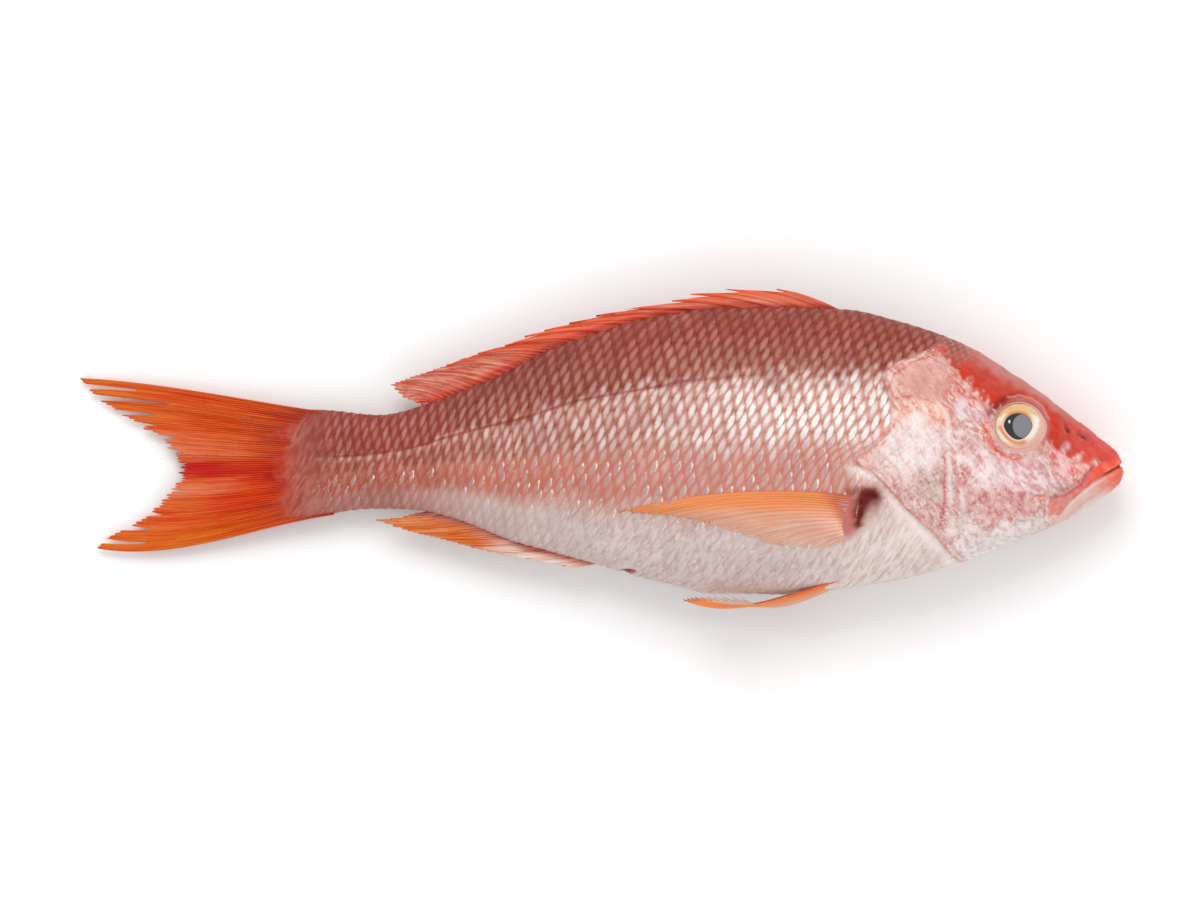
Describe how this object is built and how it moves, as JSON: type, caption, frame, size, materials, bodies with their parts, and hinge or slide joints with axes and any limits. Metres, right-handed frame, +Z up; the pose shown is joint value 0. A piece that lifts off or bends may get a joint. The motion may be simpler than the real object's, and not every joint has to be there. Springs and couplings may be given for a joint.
{
  "type": "whole raw fish",
  "caption": "Whole raw snapper-type fish with scales, head and all fins, lying on its side; a food item for kitchens, fish counters and tables.",
  "frame": {"origin": "middle of the bottom of the whole fish's box, on the surface that it lies on", "axes": "+X towards the snout, +Y towards the back fin, +Z up out of the right flank, which is the side shown"},
  "size_m": [0.3788, 0.1152, 0.0474],
  "materials": {
    "skin": "wet scaly skin, pinkish red on the back and silvery white on the belly, with orange-red fins; soft gloss",
    "eye": "clear wet eye, ivory iris with a golden rim and a black pupil"
  },
  "bodies": {
    "root": {"body": "skin", "eye_right": "eye", "eye_left": "eye"}
  },
  "joints": []
}
